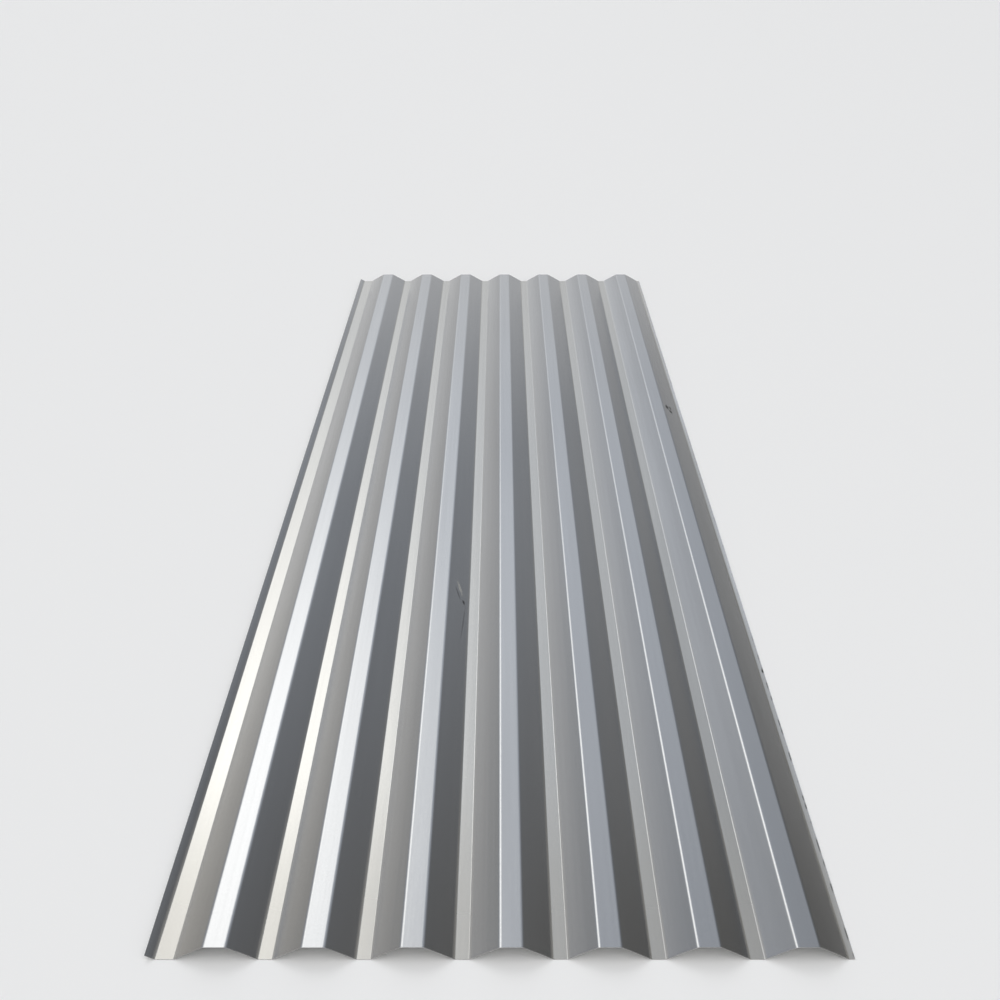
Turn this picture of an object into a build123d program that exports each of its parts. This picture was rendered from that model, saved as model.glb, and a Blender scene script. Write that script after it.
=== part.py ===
from build123d import *
import os

# One profiled steel cladding sheet, lying with its weather side up.
# Its ribs run along Y, its section lies in XZ, and its troughs rest at Z = 0.
# Laid side by side, sheets repeat at rib_count * rib_pitch + lap_slack.

# Driving dimensions, in millimetres. Widths and heights are taken on the underside,
# between the sharp corners that the bends round off.
sheet_length = 3000.0
sheet_thickness = 0.7
rib_count = 7
rib_pitch = 142.0
rib_depth = 25.0
crest_width = 33.0
trough_width = 21.0
crest_bend_radius = 10.0  # inside, so under the sheet
trough_bend_radius = 3.0  # inside, so on the weather side
lap_slack = 6.0           # extra width of the trough in which two sheets overlap
lap_clearance = 0.5       # keeps the upstand clear of the neighbour's web
lap_edge_width = 9.0      # free flange on the right, which covers the neighbour's
upstand_height = 8.0      # short leg on the left, under the neighbour's web

web_run = (rib_pitch - crest_width - trough_width) / 2
lap_flange_width = trough_width + lap_slack + lap_clearance


def rib_corners(left_foot):
    """Corners of one rib, from its left foot over the crest to its right foot."""
    crest_start = left_foot + web_run
    crest_end = crest_start + crest_width
    right_foot = crest_end + web_run
    return [
        (left_foot, 0),
        (crest_start, rib_depth),
        (crest_end, rib_depth),
        (right_foot, 0),
    ]


def upstand_corners():
    """Tip and foot of the short leg, which slopes as the webs do."""
    foot = -lap_flange_width
    tip = foot - upstand_height * web_run / rib_depth
    return [(tip, upstand_height), (foot, 0)]


def underside_corners():
    """Every corner of the sheet's underside from left to right, centred on X = 0."""
    corners = upstand_corners()
    for rib in range(rib_count):
        corners += rib_corners(rib * rib_pitch)
    last_foot = corners[-1][0]
    corners.append((last_foot + lap_edge_width, 0))
    middle = (corners[0][0] + corners[-1][0]) / 2
    return [(x - middle, z) for x, z in corners]


def underside_radius(height):
    """A crest bends round its underside, and a trough round its weather side."""
    if height > 0:
        return crest_bend_radius
    return trough_bend_radius + sheet_thickness


def sheet_section():
    """The roll formed section, of one thickness all along its bends."""
    corners = underside_corners()
    radii = [underside_radius(z) for x, z in corners[1:-1]]
    underside = FilletPolyline(*corners, radius=radii)
    outline = offset(underside, amount=sheet_thickness, side=Side.LEFT)
    return make_face(outline)


def corrugated_sheet():
    """The section drawn out along the ribs, with both ends cut square."""
    section = Plane.XZ * sheet_section()
    return extrude(section, amount=sheet_length / 2, both=True)


os.makedirs("parts", exist_ok=True)
export_step(corrugated_sheet(), "parts/corrugated_sheet.step")
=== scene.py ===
import math
import random

import bpy
import numpy as np
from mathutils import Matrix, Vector

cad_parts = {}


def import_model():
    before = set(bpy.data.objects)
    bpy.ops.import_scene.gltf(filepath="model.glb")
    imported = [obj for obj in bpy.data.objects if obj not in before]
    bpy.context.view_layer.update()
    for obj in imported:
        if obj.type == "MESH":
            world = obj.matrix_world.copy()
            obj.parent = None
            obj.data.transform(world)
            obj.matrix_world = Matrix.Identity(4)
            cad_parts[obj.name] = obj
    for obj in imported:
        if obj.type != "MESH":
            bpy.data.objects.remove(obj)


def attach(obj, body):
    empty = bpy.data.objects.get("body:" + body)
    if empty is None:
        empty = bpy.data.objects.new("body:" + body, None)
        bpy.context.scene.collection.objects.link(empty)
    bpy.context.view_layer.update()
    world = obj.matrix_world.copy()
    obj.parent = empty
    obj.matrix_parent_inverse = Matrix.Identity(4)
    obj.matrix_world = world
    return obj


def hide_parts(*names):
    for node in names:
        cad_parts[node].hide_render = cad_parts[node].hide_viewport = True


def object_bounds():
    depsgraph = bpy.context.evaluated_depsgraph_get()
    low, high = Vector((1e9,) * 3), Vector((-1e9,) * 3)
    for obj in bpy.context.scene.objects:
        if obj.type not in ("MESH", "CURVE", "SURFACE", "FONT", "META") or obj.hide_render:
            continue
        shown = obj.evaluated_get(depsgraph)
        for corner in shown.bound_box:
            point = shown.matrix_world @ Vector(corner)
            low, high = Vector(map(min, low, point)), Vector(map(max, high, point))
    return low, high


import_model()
cad_low, cad_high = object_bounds()

# Section of the sheet, in metres, as it was rolled
RIB_COUNT = 7
RIB_PITCH = 0.142
CREST_WIDTH = 0.033
TROUGH_WIDTH = 0.021
THICKNESS = 0.0007
CREST_BEND_RADIUS = 0.010
TROUGH_BEND_RADIUS = 0.003
LAP_FLANGE_WIDTH = 0.0275
UPSTAND_HEIGHT = 0.008
RIB_DEPTH = cad_high.z - THICKNESS
WEB_RUN = (RIB_PITCH - CREST_WIDTH - TROUGH_WIDTH) / 2
FIRST_FOOT = cad_low.x + UPSTAND_HEIGHT * WEB_RUN / RIB_DEPTH + LAP_FLANGE_WIDTH
FIRST_CREST = FIRST_FOOT + WEB_RUN + CREST_WIDTH / 2

# Small departures of a real sheet from its section, in metres
WEB_BOW = 0.0003
WEB_WAVE = 0.00010
FLAT_WAVE = 0.00004
FLANGE_LIFT = 0.0011
FLANGE_LIFT_CURVE = 1.5
FLANGE_WANDER = 0.0004
END_WANDER = 0.0004

# The shortest and longest waves of those departures, in metres, and their seeds
FLAT_WAVE_LENGTHS = (0.35, 1.3)
END_WAVE_LENGTHS = (0.03, 0.3)
FLANGE_WAVE_LENGTHS = (0.15, 0.9)
FLAT_SEED = 11
EDGE_SEED = 5

# Steps of the mesh, and the slopes that make a web or a sharp edge
BEND_STEPS = 5
STRAIGHT_STEP = 0.012
SUPPORT = 0.0006
ROW_STEP = 0.025
WEB_SLOPE = math.radians(20)
SHARP_ANGLE = math.radians(40)

# Order of the sheet's materials
PAINTED, COATED, BARE = 0, 1, 2

# Marks: rib, place across from its middle, place along, half width, half length, turn, strength
PALE_SCRAPE = (3, 0.0403, -0.556, 0.0034, 0.028, -13, 0.28)
DARK_MARKS = [
    (7, 0.0283, 0.354, 0.0050, 0.0150, 0, 1.0),
    (7, 0.0378, 0.357, 0.0042, 0.0120, 0, 0.7),
    (7, 0.0366, 0.332, 0.0050, 0.0110, 0, 1.0),
    (7, 0.0445, 0.351, 0.0028, 0.0070, 0, 0.2),
    (7, 0.0683, -0.827, 0.0030, 0.0070, 0, 1.0),
    (3, 0.0364, -0.576, 0.0022, 0.022, -14, 0.35),
    (3, 0.0490, -0.602, 0.0030, 0.009, -10, 0.75),
    (3, 0.0498, -0.674, 0.0015, 0.058, 3, 0.3),
]

# How far out a mark begins and is whole, in its half sizes, and how uneven that edge is
MARK_EDGE = (1.15, 0.5)
MARK_UNEVENNESS = 0.8

# Colours of the finishes
SILVER = (0.555, 0.56, 0.565, 1)
TROUGH_SILVER = (0.632, 0.622, 0.592, 1)
TROUGH_BEND_SILVER = (0.62, 0.62, 0.612, 1)
DUST = (0.30, 0.283, 0.245, 1)
SCRAPED_PAINT = (0.62, 0.60, 0.47, 1)
# The dark of the marks and of the patches along the covering flange's edge
DARK_MARK_COLOUR = (0.05, 0.05, 0.045, 1)
BACK_GREY = (0.50, 0.50, 0.48, 1)
DULL_STEEL = (0.38, 0.37, 0.36, 1)
BRIGHT_STEEL = (0.58, 0.58, 0.57, 1)

# Waves to the metre of each pattern, along X, Y and Z
DRIFT_WAVES = (5, 1.1, 5)
STREAK_WAVES = (150, 1.6, 150)
GRAIN_WAVES = (420, 420, 420)
FLAKE_WAVES = (1700, 1700, 1700)
RIPPLE_WAVES = (90, 30, 90)
MARK_WAVES = (200, 80, 200)
DARK_EDGE_WAVES = (20, 34, 20)
BACK_DRIFT_WAVES = (9, 2, 9)
BACK_GRAIN_WAVES = (700, 700, 700)
DRAG_WAVES = (2500, 2500, 300)

# The range that most of a noise lies in
USUAL_NOISE = (0.3, 0.7)

# The slow drift of the paint's and the back coat's tone, and what each pattern adds to it, from low to high
DRIFT_TONE = (0.97, 1.01)
BACK_DRIFT_TONE = (0.93, 1.03)
STREAK_TONE = (-0.015, 0.015)
GRAIN_TONE = (-0.02, 0.02)
FLAKE_TONE = (-0.025, 0.025)
# Painted shading of the left-facing webs: lighter at the foot, darker towards the crest
LEFT_WEB_PAINTED_SHADE_TONE = (0.13, -0.12)

# Where each zone begins and where it is whole, by height, by the normal's X or by place
TROUGH_HEIGHTS = (0.0035, 0.0010)
# The next two pick out, by height and by normal, the left-facing webs that are painted lighter at the foot
# and darker towards the crest
LEFT_WEB_PAINTED_SHADE_HEIGHTS = (0.0, 0.026)
LEFT_WEB_NORMALS = (-0.28, -0.42)
LEFT_BEND_NORMALS = (-0.04, -0.14)
DUSTY_END = (-1.05, -1.45)
# The next two say where along the sheet and how near its edge the covering flange is darker in patches
DARK_EDGE_LOWER_END = (-0.6, -0.95)
DARK_EDGE_BAND = (cad_high.x - 0.0032, cad_high.x - 0.0014)

# Where the dark patches along the flange's edge and the patches of dust begin and are whole in their noise,
# and how much there is of each
DARK_EDGE_PATCH_LEVELS = (0.52, 0.62)
DUST_PATCHES = (0.35, 0.8)
DARK_EDGE_AMOUNT = (0.15, 0.7)
DUST_AMOUNT = (0.03, 0.27)
DUST_PATCH_AMOUNT = (0.0, 0.04)

# Roughness and relief of the finishes, the depths in metres
PAINT_ROUGHNESS = (0.225, 0.245)
BACK_ROUGHNESS = (0.45, 0.6)
STEEL_ROUGHNESS = (0.35, 0.55)
DULL_PAINT_ROUGHNESS = 0.08
FLAKE_RELIEF = 0.08
COAT_RELIEF_DEPTH = 0.00003
STEEL_RELIEF_DEPTH = 0.00005

# The floor, in metres where it is a length
FLOOR_REACH = 400.0
FLOOR_DROP = 0.0002
FLOOR_LEVEL = 0.86
FLOOR_ROUGHNESS = 0.8

# The camera: its height in metres, the sheet's distance as a share of that, and its lens in millimetres
CAMERA_PITCH = math.radians(29.3)
CAMERA_HEIGHT = 1.4
CAMERA_GAP_SHARE = 0.8154
CAMERA_FILM = 36
CAMERA_LENS = 42

# The lamp's strength, its width and the way it stands
LAMP_STRENGTH = 0.4
LAMP_WIDTH = math.radians(30)
LAMP_BEARING = math.radians(-20)
LAMP_RISE = math.radians(44)

# Tints of the studio
PLAIN = (1, 1, 1)
COOL = (0.94, 1.0, 1.10)
WARM = (1.03, 1.0, 0.94)
WARMER = (1.08, 1.0, 0.86)

# The studio round the ribs' axis: degrees from straight up towards the left, level and tint
STEEP_SCREENS = [
    (-90, 0.18, WARM), (-77, 0.095, WARM), (-59, 0.12, WARM), (-42, 0.115, PLAIN),
    (-30, 0.22, COOL), (-18, 0.39, COOL), (-6, 0.52, COOL), (0, 0.56, COOL), (6, 0.60, COOL),
    (17, 0.55, COOL), (28, 0.45, COOL), (41, 0.35, COOL), (59, 0.38, PLAIN), (76, 0.26, WARM),
    (90, 0.30, WARM),
]
SHALLOW_SCREENS = [
    (-90, 0.40, PLAIN), (-77, 0.34, PLAIN), (-59, 0.32, COOL), (-42, 0.32, COOL),
    (-30, 0.44, COOL), (-18, 0.63, COOL), (-6, 0.73, COOL), (0, 0.76, COOL), (6, 0.77, COOL),
    (17, 0.74, COOL), (28, 0.68, COOL), (41, 0.62, COOL), (59, 0.57, PLAIN), (76, 0.63, PLAIN),
    (90, 0.7, PLAIN),
]
LONG_LIGHT = [
    (-6, 0.0, WARM), (0, 0.0, WARM), (5, 0.3, WARM), (10, 1.1, WARM), (14, 1.6, WARM),
    (18, 1.6, WARM), (22, 1.3, WARM), (26, 1.0, WARM), (30, 0.6, WARM), (35, 0.2, WARM),
    (40, 0.0, WARM), (59, 0.0, WARMER), (76, 0.17, WARMER), (90, 0.17, WARMER),
]

# Where the studio's parts begin and are whole, by the share of a direction along one axis
STEEP_TO_SHALLOW = (0.62, 0.88)
LIGHT_NEAR_END = (0.35, 0.62)
LIGHT_FAR_END = (0.96, 0.74)
SCREENS_FAR_END = (0.97, 0.90)
SCREENS_NEAR_END = (0.15, 0.42)
SCREENS_LEFT_EDGE = (0.92, 0.80)
LOW_TO_HIGH = (0.2, 0.6)
FAR_END_LEVEL = 0.72
LOW_LEVEL = 0.80
HIGH_LEVEL = 1.02


def crest_centre(rib):
    """X of a rib's middle, counted from 1 at the left."""
    return FIRST_CREST + (rib - 1) * RIB_PITCH


def underside_corners():
    """Sharp corners of the underside, from the upstand's tip to the covering flange."""
    corners = [(cad_low.x, UPSTAND_HEIGHT), (FIRST_FOOT - LAP_FLANGE_WIDTH, 0)]
    for rib in range(RIB_COUNT):
        left_foot = FIRST_FOOT + rib * RIB_PITCH
        crest_start = left_foot + WEB_RUN
        crest_end = crest_start + CREST_WIDTH
        corners += [
            (left_foot, 0),
            (crest_start, RIB_DEPTH),
            (crest_end, RIB_DEPTH),
            (crest_end + WEB_RUN, 0),
        ]
    corners.append((cad_high.x, 0))
    return np.array(corners)


def section_line():
    """Points of the underside, their headings, the run each is on and its share of that run."""
    corners = underside_corners()
    runs = np.diff(corners, axis=0)
    angles = np.arctan2(runs[:, 1], runs[:, 0])
    lengths = np.hypot(runs[:, 0], runs[:, 1])
    radii = np.where(corners[1:-1, 1] > 0, CREST_BEND_RADIUS, TROUGH_BEND_RADIUS + THICKNESS)
    turns = np.diff(angles)
    tangents = np.concatenate([[0], radii * np.tan(np.abs(turns) / 2), [0]])
    line = [(*corners[0], angles[0], 0, 0.0)]
    for run, angle in enumerate(angles):
        along = np.array([math.cos(angle), math.sin(angle)])
        clear = lengths[run] - tangents[run] - tangents[run + 1]
        stations = np.linspace(SUPPORT, clear - SUPPORT, max(1, round(clear / STRAIGHT_STEP)) + 1)
        for station in stations:
            point = corners[run] + along * (tangents[run] + station)
            line.append((*point, angle, run, station / clear))
        if run == len(turns):
            break
        tangent_point = corners[run + 1] - along * tangents[run + 1]
        signed_radius = math.copysign(radii[run], turns[run])
        for share in np.linspace(0, 1, BEND_STEPS + 1):
            heading = angle + turns[run] * share
            bend = signed_radius * np.array([
                math.sin(heading) - math.sin(angle),
                math.cos(angle) - math.cos(heading),
            ])
            line.append((*(tangent_point + bend), heading, run, 0.0))
    line.append((*corners[-1], angles[-1], len(angles) - 1, 1.0))
    return np.array(line)


def slow_wave(chance, stations, wave_lengths):
    """A smooth wander over the stations, between minus one and one."""
    total = np.zeros(len(stations))
    parts = 3
    for _ in range(parts):
        length = chance.uniform(*wave_lengths)
        total += np.sin(stations / length * math.tau + chance.uniform(0, math.tau))
    return total / parts


def flat_offsets(line, stations):
    """How far each point of the flats stands off its plane, towards the weather side."""
    chance = random.Random(FLAT_SEED)
    _, up, headings, runs, share = line.T
    last_run = int(runs.max())
    rising = np.abs(headings) > WEB_SLOPE
    offsets = np.zeros((len(stations), len(line)))
    for run in range(last_run + 1):
        here = (runs == run) & (share > 0)
        wave = slow_wave(chance, stations, FLAT_WAVE_LENGTHS)
        bulge = np.sin(math.pi * share[here]) ** 2
        if run == last_run:
            lift = 0.5 + 0.5 * wave
            offsets[:, here] = FLANGE_LIFT * lift[:, None] * share[here] ** FLANGE_LIFT_CURVE
        elif rising[here].all():
            bow = 4 * share[here] * (1 - share[here])
            offsets[:, here] = WEB_BOW * bow + WEB_WAVE * wave[:, None] * bulge
        else:
            direction = 1 if up[here].mean() < RIB_DEPTH / 2 else -1
            offsets[:, here] = direction * FLAT_WAVE * (1 + wave[:, None]) * bulge
    return offsets


def sheet_points(height):
    """Rows of points of one face of the sheet, at a height over the underside."""
    line = section_line()
    across, up, headings = line[:, :3].T
    stations = np.linspace(cad_low.y, cad_high.y, round((cad_high.y - cad_low.y) / ROW_STEP) + 1)
    stand_off = flat_offsets(line, stations) + height
    grid = np.empty((len(stations), len(line), 3))
    grid[:, :, 0] = across - np.sin(headings) * stand_off
    grid[:, :, 1] = stations[:, None]
    grid[:, :, 2] = up + np.cos(headings) * stand_off
    chance = random.Random(EDGE_SEED)
    grid[0, :, 1] += END_WANDER / 2 * (1 + slow_wave(chance, across, END_WAVE_LENGTHS))
    grid[-1, :, 1] -= END_WANDER / 2 * (1 + slow_wave(chance, across, END_WAVE_LENGTHS))
    grid[:, -1, 0] -= FLANGE_WANDER / 2 * (1 + slow_wave(chance, stations, FLANGE_WAVE_LENGTHS))
    return grid


def quads_over(points, turned=False):
    """Quads between the neighbours in a grid of point numbers, turned over where that is asked."""
    corners = [points[:-1, :-1], points[:-1, 1:], points[1:, 1:], points[1:, :-1]]
    quads = np.stack(corners, axis=-1).reshape(-1, 4)
    return quads[:, [0, 3, 2, 1]] if turned else quads


def sheet_mesh():
    """The whole sheet as one closed mesh of quads, with paint, back coat and bare edges."""
    weather = sheet_points(THICKNESS)
    back = sheet_points(0)
    rows, columns = weather.shape[:2]
    vertices = np.concatenate([weather.reshape(-1, 3), back.reshape(-1, 3)])
    above = np.arange(rows * columns).reshape(rows, columns)
    below = above + rows * columns
    sides = [
        (PAINTED, quads_over(above)),
        (COATED, quads_over(below, turned=True)),
        (BARE, quads_over(np.stack([above[0], below[0]]), turned=True)),
        (BARE, quads_over(np.stack([above[-1], below[-1]]))),
        (BARE, quads_over(np.stack([above[:, 0], below[:, 0]]))),
        (BARE, quads_over(np.stack([above[:, -1], below[:, -1]]), turned=True)),
    ]
    quads = np.concatenate([side for _, side in sides])
    finishes = np.concatenate([np.full(len(side), finish) for finish, side in sides])
    mesh = bpy.data.meshes.new("rolled_sheet")
    mesh.from_pydata(vertices.tolist(), [], quads.tolist())
    mesh.polygons.foreach_set("material_index", finishes.astype(np.int32))
    mesh.update()
    mesh.shade_smooth()
    mesh.set_sharp_from_angle(angle=SHARP_ANGLE)
    return mesh


def grey(level):
    """A colour without tint."""
    return (level, level, level, 1)


class Nodes:
    """Short calls for the few kinds of node that the coats and the studio use."""

    def __init__(self, tree):
        self.tree = tree

    def node(self, kind, **settings):
        """A new node with its settings."""
        made = self.tree.nodes.new(kind)
        for name, value in settings.items():
            setattr(made, name, value)
        return made

    def feed(self, socket, value):
        """Links an output to a socket, or writes a plain value on it."""
        if isinstance(value, bpy.types.NodeSocket):
            self.tree.links.new(value, socket)
        else:
            socket.default_value = value

    def combine(self, operation, first, second):
        """One number out of two."""
        made = self.node("ShaderNodeMath", operation=operation)
        self.feed(made.inputs[0], first)
        self.feed(made.inputs[1], second)
        return made.outputs[0]

    def vector(self, operation, first, second):
        """A node of vector maths, whose outputs are a vector and a number."""
        made = self.node("ShaderNodeVectorMath", operation=operation)
        self.feed(made.inputs[0], first)
        self.feed(made.inputs[1], second)
        return made

    def fade(self, value, start, stop, low=0.0, high=1.0, kind="SMOOTHSTEP"):
        """Goes from low to high as the value goes from start to stop."""
        made = self.node("ShaderNodeMapRange", interpolation_type=kind)
        for socket, number in zip(made.inputs, (value, start, stop, low, high)):
            self.feed(socket, number)
        return made.outputs[0]

    def split(self, vector):
        """The three parts of a vector."""
        made = self.node("ShaderNodeSeparateXYZ")
        self.feed(made.inputs[0], vector)
        return made.outputs

    def blend(self, factor, first, second, kind="MIX"):
        """One colour out of two."""
        made = self.node("ShaderNodeMix", data_type="RGBA", blend_type=kind)
        self.feed(made.inputs[0], factor)
        self.feed(made.inputs[6], first)
        self.feed(made.inputs[7], second)
        return made.outputs[2]

    def ramp(self, around, stops):
        """Colours over a half turn, from stops of degrees, level and tint."""
        made = self.node("ShaderNodeValToRGB")
        made.color_ramp.interpolation = "EASE"
        elements = made.color_ramp.elements
        given = len(elements)
        for place, (degrees, level, tint) in enumerate(stops):
            position = (degrees + 90) / 180
            element = elements[place] if place < given else elements.new(position)
            element.position = position
            element.color = (*[level * share for share in tint], 1)
        self.feed(made.inputs[0], around)
        return made.outputs[0]


class Coat(Nodes):
    """One material's nodes."""

    def __init__(self, name):
        self.material = bpy.data.materials.new(name)
        self.material.use_nodes = True
        super().__init__(self.material.node_tree)
        self.shader = self.tree.nodes["Principled BSDF"]
        self.place = self.node("ShaderNodeTexCoord").outputs["Object"]

    def give(self, name, value):
        """Feeds one of the shader's inputs."""
        self.feed(self.shader.inputs[name], value)

    def noise(self, waves, detail):
        """Noise with its own waves to the metre along X, Y and Z."""
        made = self.node("ShaderNodeTexNoise")
        made.inputs["Scale"].default_value = 1.0
        made.inputs["Detail"].default_value = detail
        self.feed(made.inputs["Vector"], self.vector("MULTIPLY", self.place, waves).outputs[0])
        return made.outputs[0]

    def spread(self, noise, low, high):
        """Goes from low to high over the range that most of a noise lies in."""
        return self.fade(noise, *USUAL_NOISE, low, high)

    def bump(self, height, depth):
        """Fine relief of a depth in metres."""
        made = self.node("ShaderNodeBump")
        made.inputs["Distance"].default_value = depth
        self.feed(made.inputs["Height"], height)
        self.give("Normal", made.outputs[0])

    def mark(self, rib, across, along, half_width, half_length, turn, strength):
        """A soft edged mark beside a rib, as strong as stated inside and nought outside."""
        centre = (crest_centre(rib) + across, along, 0)
        shifted = self.vector("SUBTRACT", self.place, centre).outputs[0]
        turned = self.node("ShaderNodeVectorRotate", rotation_type="Z_AXIS")
        turned.inputs["Angle"].default_value = math.radians(turn)
        self.feed(turned.inputs["Vector"], shifted)
        scaled = self.vector("DIVIDE", turned.outputs[0], (half_width, half_length, 1)).outputs[0]
        reach = self.vector("LENGTH", scaled, (0, 0, 0)).outputs["Value"]
        edge = self.combine("SUBTRACT", self.noise(MARK_WAVES, detail=2.0), 0.5)
        uneven = self.combine("ADD", reach, self.combine("MULTIPLY", edge, MARK_UNEVENNESS))
        return self.combine("MULTIPLY", self.fade(uneven, *MARK_EDGE), strength)


def dark_marks(coat):
    """The dark specks and the dark parts of the scrape, together."""
    total = 0.0
    for mark in DARK_MARKS:
        total = coat.combine("MAXIMUM", total, coat.mark(*mark))
    return total


def dark_edge_patches(coat, across, along):
    """Dark patches along the covering flange's edge, stronger near the lower end."""
    by_edge = coat.fade(across, *DARK_EDGE_BAND)
    patches = coat.fade(coat.noise(DARK_EDGE_WAVES, detail=1.0), *DARK_EDGE_PATCH_LEVELS)
    strength = coat.fade(along, *DARK_EDGE_LOWER_END, *DARK_EDGE_AMOUNT)
    return coat.combine("MULTIPLY", coat.combine("MULTIPLY", by_edge, patches), strength)


def dust_film(coat, in_trough, along, drift):
    """How much dust covers the troughs, most of it near the lower end."""
    by_end = coat.fade(along, *DUSTY_END, *DUST_AMOUNT)
    patches = coat.fade(drift, *DUST_PATCHES, *DUST_PATCH_AMOUNT)
    return coat.combine("MULTIPLY", in_trough, coat.combine("ADD", by_end, patches))


def paint_tone(coat, height, facing, drift, flakes):
    """How light the paint is, near one, with its patterns and the painted shading of the left webs, lighter
    at the foot and darker towards the crest.
    """
    # Painted shading: the left-facing webs are lighter at the foot and darker towards the crest
    painted_web_shade = coat.fade(height, *LEFT_WEB_PAINTED_SHADE_HEIGHTS, *LEFT_WEB_PAINTED_SHADE_TONE)
    tone = coat.spread(drift, *DRIFT_TONE)
    for part in (
        coat.combine("MULTIPLY", coat.fade(facing, *LEFT_WEB_NORMALS), painted_web_shade),
        coat.spread(coat.noise(STREAK_WAVES, detail=3.0), *STREAK_TONE),
        coat.spread(coat.noise(GRAIN_WAVES, detail=2.0), *GRAIN_TONE),
        coat.spread(flakes, *FLAKE_TONE),
    ):
        tone = coat.combine("ADD", tone, part)
    return tone


def silver_paint():
    """Silver metallic paint with painted shading on the left webs, a dusty film in the troughs and a few
    marks.
    """
    coat = Coat("silver_paint")
    across, along, height = coat.split(coat.place)
    facing = coat.split(coat.node("ShaderNodeTexCoord").outputs["Normal"])[0]
    in_trough = coat.fade(height, *TROUGH_HEIGHTS)
    drift = coat.noise(DRIFT_WAVES, detail=2.0)
    flakes = coat.noise(FLAKE_WAVES, detail=1.0)

    on_bend = coat.fade(facing, *LEFT_BEND_NORMALS)
    silver = coat.blend(in_trough, SILVER, coat.blend(on_bend, TROUGH_SILVER, TROUGH_BEND_SILVER))
    colour = coat.blend(1.0, silver, paint_tone(coat, height, facing, drift, flakes), "MULTIPLY")
    film = dust_film(coat, in_trough, along, drift)
    colour = coat.blend(film, colour, DUST)
    scrape = coat.mark(*PALE_SCRAPE)
    colour = coat.blend(scrape, colour, SCRAPED_PAINT)
    # Dark marks, and the dark patches along the covering flange's edge
    dark = coat.combine("MAXIMUM", dark_marks(coat), dark_edge_patches(coat, across, along))
    coat.give("Base Color", coat.blend(dark, colour, DARK_MARK_COLOUR))

    dull = coat.combine("MAXIMUM", film, scrape)
    coat.give("Metallic", coat.combine("SUBTRACT", 1.0, dull))
    dull_part = coat.combine("MULTIPLY", dull, DULL_PAINT_ROUGHNESS)
    coat.give("Roughness", coat.combine("ADD", coat.spread(drift, *PAINT_ROUGHNESS), dull_part))
    flake_part = coat.combine("MULTIPLY", flakes, FLAKE_RELIEF)
    relief = coat.combine("ADD", coat.noise(RIPPLE_WAVES, detail=2.0), flake_part)
    coat.bump(relief, COAT_RELIEF_DEPTH)
    return coat.material


def back_coat():
    """The thin grey coat of the underside, plain and nearly matt."""
    coat = Coat("back_coat")
    drift = coat.noise(BACK_DRIFT_WAVES, detail=3.0)
    grain = coat.noise(BACK_GRAIN_WAVES, detail=2.0)
    tone = coat.combine("ADD", coat.spread(drift, *BACK_DRIFT_TONE), coat.spread(grain, *GRAIN_TONE))
    coat.give("Base Color", coat.blend(1.0, BACK_GREY, tone, "MULTIPLY"))
    coat.give("Roughness", coat.spread(drift, *BACK_ROUGHNESS))
    coat.bump(grain, COAT_RELIEF_DEPTH)
    return coat.material


def cut_steel():
    """The bare steel of the sheared ends and slit edges."""
    coat = Coat("cut_steel")
    drag = coat.noise(DRAG_WAVES, detail=3.0)
    coat.give("Base Color", coat.blend(drag, DULL_STEEL, BRIGHT_STEEL))
    coat.give("Metallic", 1.0)
    coat.give("Roughness", coat.spread(drag, *STEEL_ROUGHNESS))
    coat.bump(drag, STEEL_RELIEF_DEPTH)
    return coat.material


def floor():
    """A plain pale floor that reaches past every view."""
    reach = FLOOR_REACH
    corners = [(-reach, -reach, 0), (reach, -reach, 0), (reach, reach, 0), (-reach, reach, 0)]
    mesh = bpy.data.meshes.new("floor")
    mesh.from_pydata(corners, [], [(0, 1, 2, 3)])
    plane = bpy.data.objects.new("floor", mesh)
    plane.location.z = -FLOOR_DROP
    bpy.context.collection.objects.link(plane)
    material = bpy.data.materials.new("floor")
    material.use_nodes = True
    shader = material.node_tree.nodes["Principled BSDF"]
    shader.inputs["Base Color"].default_value = grey(FLOOR_LEVEL)
    shader.inputs["Roughness"].default_value = FLOOR_ROUGHNESS
    mesh.materials.append(material)


def camera():
    """Looks along the ribs and down, at the angle at which the photograph sees them."""
    data = bpy.data.cameras.new("camera")
    data.sensor_width = CAMERA_FILM
    data.lens = CAMERA_LENS
    gap = CAMERA_GAP_SHARE * CAMERA_HEIGHT
    eye = bpy.data.objects.new("camera", data)
    eye.location = (0, cad_low.y - gap, CAMERA_HEIGHT)
    eye.rotation_euler = (math.pi / 2 - CAMERA_PITCH, 0, 0)
    bpy.context.collection.objects.link(eye)
    bpy.context.scene.camera = eye


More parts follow.
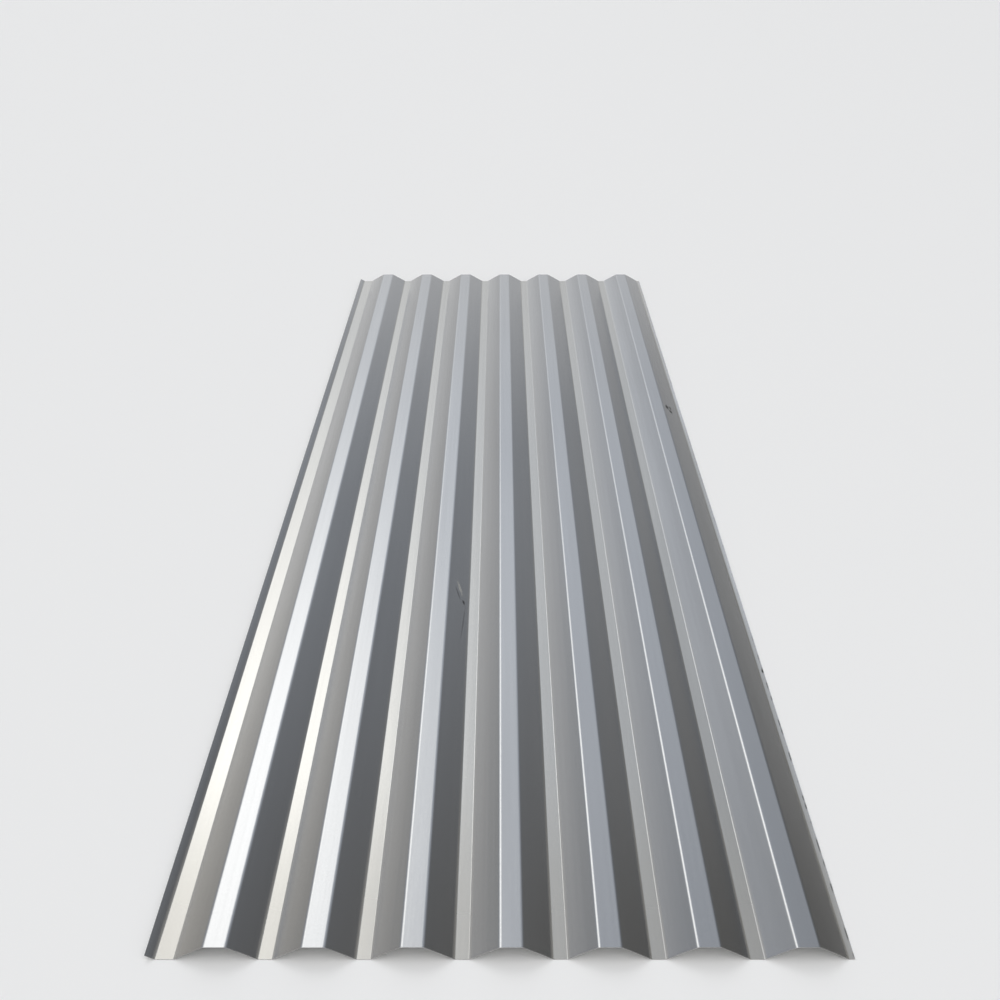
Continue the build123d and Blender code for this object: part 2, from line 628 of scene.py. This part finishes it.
def world():
    """A studio of long screens and one long soft light, all parallel to the ribs."""
    made = bpy.data.worlds.new("studio")
    bpy.context.scene.world = made
    made.use_nodes = True
    studio = Nodes(made.node_tree)
    direction = studio.node("ShaderNodeTexCoord").outputs["Generated"]
    rightward, forward, upward = studio.split(direction)
    leftward = studio.combine("MULTIPLY", rightward, -1.0)
    swing = studio.combine("ARCTAN2", leftward, upward)
    around = studio.fade(swing, -math.pi / 2, math.pi / 2, kind="LINEAR")

    steep = studio.ramp(around, STEEP_SCREENS)
    shallow = studio.ramp(around, SHALLOW_SCREENS)
    screens = studio.blend(studio.fade(forward, *STEEP_TO_SHALLOW, kind="LINEAR"), steep, shallow)
    light_near = studio.fade(forward, *LIGHT_NEAR_END)
    light_far = studio.fade(forward, *LIGHT_FAR_END)
    reach = studio.combine("MULTIPLY", light_near, light_far)
    light = studio.vector("MULTIPLY", studio.ramp(around, LONG_LIGHT), reach).outputs[0]
    lit = studio.vector("ADD", screens, light).outputs[0]
    ahead = studio.blend(studio.fade(forward, *SCREENS_FAR_END), grey(FAR_END_LEVEL), lit)

    behind = studio.blend(studio.fade(upward, *LOW_TO_HIGH), grey(LOW_LEVEL), grey(HIGH_LEVEL))
    screens_near = studio.fade(forward, *SCREENS_NEAR_END)
    screens_left = studio.fade(leftward, *SCREENS_LEFT_EDGE)
    within = studio.combine("MULTIPLY", screens_near, screens_left)
    studio.feed(studio.tree.nodes["Background"].inputs["Color"], studio.blend(within, behind, ahead))


def key_lamp():
    """A broad lamp from the far left, which gives the sheet a soft shadow on the floor."""
    data = bpy.data.lights.new("key_lamp", "SUN")
    data.energy = LAMP_STRENGTH
    data.angle = LAMP_WIDTH
    lamp = bpy.data.objects.new("key_lamp", data)
    direction = Vector((math.sin(LAMP_BEARING), math.cos(LAMP_BEARING), math.tan(LAMP_RISE)))
    lamp.rotation_euler = direction.to_track_quat("Z", "Y").to_euler()
    lamp.visible_glossy = False
    bpy.context.collection.objects.link(lamp)


camera()
sheet = bpy.data.objects.new("profiled_sheet", sheet_mesh())
bpy.context.collection.objects.link(sheet)
for material in (silver_paint(), back_coat(), cut_steel()):
    sheet.data.materials.append(material)
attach(sheet, "root")
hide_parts("corrugated_sheet")

floor()
world()
key_lamp()
bpy.context.scene.view_settings.view_transform = "Standard"
